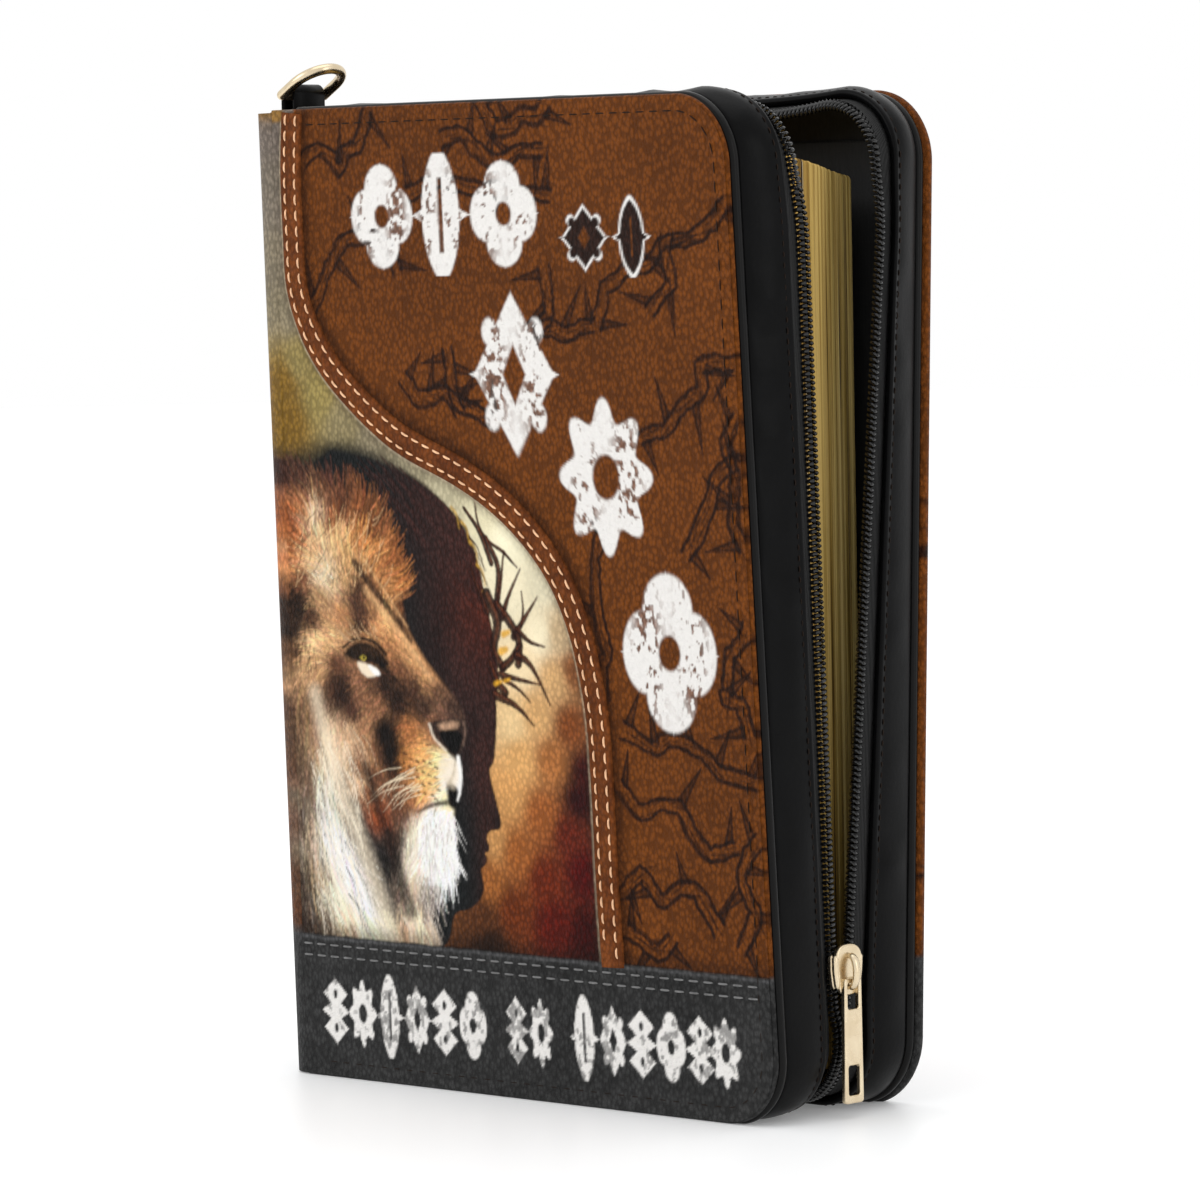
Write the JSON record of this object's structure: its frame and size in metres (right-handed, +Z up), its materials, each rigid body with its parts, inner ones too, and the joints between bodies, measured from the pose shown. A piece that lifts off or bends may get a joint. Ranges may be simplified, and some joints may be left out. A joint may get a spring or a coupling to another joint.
{
  "type": "zippered bible",
  "caption": "Zip-around leather book case holding a bound bible with gilded page edges, standing upright, with a zip slider and pull and a carrying ring.",
  "frame": {"origin": "centre of the object's footprint box, on the surface it stands on", "axes": "+Z up along the book's height, +X from the spine to the fore-edge, -Y the way the front cover faces"},
  "size_m": [0.1595, 0.0628, 0.2305],
  "materials": {
    "printed_leather": "pebbled, printed, satin",
    "black_leather": "smooth, satin",
    "black_lining": "matt",
    "cover_board": "raw",
    "bible_cover": "grained, satin",
    "binding_paper": "matt",
    "band_thread": "woven",
    "zip_tape": "woven",
    "zip_coil": "satin nylon",
    "zip_stop": "satin",
    "light_gold_metal": "plated, polished",
    "gilt_pages": "gilded edges, satin"
  },
  "bodies": {
    "spine": {"spine_skin": "printed_leather", "spine_board": "cover_board", "spine_lining": "black_lining", "bible_spine": "bible_cover", "binding_strip": "binding_paper", "head_band": "band_thread", "tail_band": "band_thread", "ring_tab": "black_leather"},
    "ring": {"carry_ring": "light_gold_metal"},
    "front_joint": {"front_joint_skin": "printed_leather", "front_joint_lining": "black_lining"},
    "back_joint": {"back_joint_skin": "printed_leather", "back_joint_lining": "black_lining"},
    "front_cover": {"front_skin": "printed_leather", "front_board": "cover_board", "front_lining": "black_lining", "front_piping": "black_leather", "front_gusset": "black_leather", "front_zip_tape": "zip_tape", "front_coil": "zip_coil", "front_zip_stops": "zip_stop", "bible_front_board": "bible_cover", "front_pocket": "black_lining"},
    "back_cover": {"back_skin": "printed_leather", "back_board": "cover_board", "back_lining": "black_lining", "back_piping": "black_leather", "back_gusset": "black_leather", "back_zip_tape": "zip_tape", "back_coil": "zip_coil", "back_zip_stops": "zip_stop", "bible_back_board": "bible_cover", "back_pocket": "black_lining"},
    "slider": {"slider_body": "light_gold_metal", "slider_bridge": "light_gold_metal"},
    "pull": {"pull_tab": "light_gold_metal"},
    "pages_1": {"page_section_1": "gilt_pages"},
    "pages_2": {"page_section_2": "gilt_pages"},
    "pages_3": {"page_section_3": "gilt_pages"},
    "pages_4": {"page_section_4": "gilt_pages"}
  },
  "joints": [
    {"name": "zip_slide", "type": "slide", "parent": "back_cover", "child": "slider", "axis": [0.0331, 0.0577, 0.9978], "range_m": [-0.006, 0.15]},
    {"name": "pull_swing", "type": "hinge", "parent": "slider", "child": "pull", "pos_m": [0.07728, 0, 0.02946], "axis": [0, -1, 0], "range_deg": [0, 170]},
    {"name": "front_spread", "type": "hinge", "parent": "spine", "child": "front_joint", "pos_m": [-0.073, -0.02375, 0.02398], "axis": [-1, 0, 0], "range_deg": [-0.25, 3.1]},
    {"name": "back_spread", "type": "hinge", "parent": "spine", "child": "back_joint", "pos_m": [-0.073, 0.02375, 0.02398], "axis": [1, 0, 0], "range_deg": [-0.25, 3.1]},
    {"name": "front_open", "type": "hinge", "parent": "front_joint", "child": "front_cover", "pos_m": [-0.073, -0.02375, 0.02398], "axis": [0, 0.0393, -0.9992], "range_deg": [0, 88]},
    {"name": "back_open", "type": "hinge", "parent": "back_joint", "child": "back_cover", "pos_m": [-0.073, 0.02375, 0.02398], "axis": [0, 0.0393, 0.9992], "range_deg": [0, 88]},
    {"name": "ring_swing", "type": "hinge", "parent": "spine", "child": "ring", "pos_m": [-0.0773, -0.013, 0.2236], "axis": [0, 1, 0], "range_deg": [-150, 34]},
    {"name": "page_turn_1", "type": "hinge", "parent": "spine", "child": "pages_1", "pos_m": [-0.0684, -0.014, 0.009], "axis": [0, 0, -1], "range_deg": [0, 82.5]},
    {"name": "page_turn_2", "type": "hinge", "parent": "spine", "child": "pages_2", "pos_m": [-0.0684, -0.007, 0.009], "axis": [0, 0, -1], "range_deg": [0, 40.5]},
    {"name": "page_turn_3", "type": "hinge", "parent": "spine", "child": "pages_3", "pos_m": [-0.0684, 0.007, 0.009], "axis": [0, 0, 1], "range_deg": [0, 40.5]},
    {"name": "page_turn_4", "type": "hinge", "parent": "spine", "child": "pages_4", "pos_m": [-0.0684, 0.014, 0.009], "axis": [0, 0, 1], "range_deg": [0, 82.5]}
  ],
  "couplings": [
    {"joint": "front_spread", "follows": "zip_slide", "rad_per_m": 0.3589},
    {"joint": "back_spread", "follows": "zip_slide", "rad_per_m": 0.3589},
    {"joint": "page_turn_1", "follows": "front_open", "ratio": 0.93},
    {"joint": "page_turn_2", "follows": "front_open", "ratio": 0.45},
    {"joint": "page_turn_4", "follows": "back_open", "ratio": 0.93},
    {"joint": "page_turn_3", "follows": "back_open", "ratio": 0.45}
  ]
}
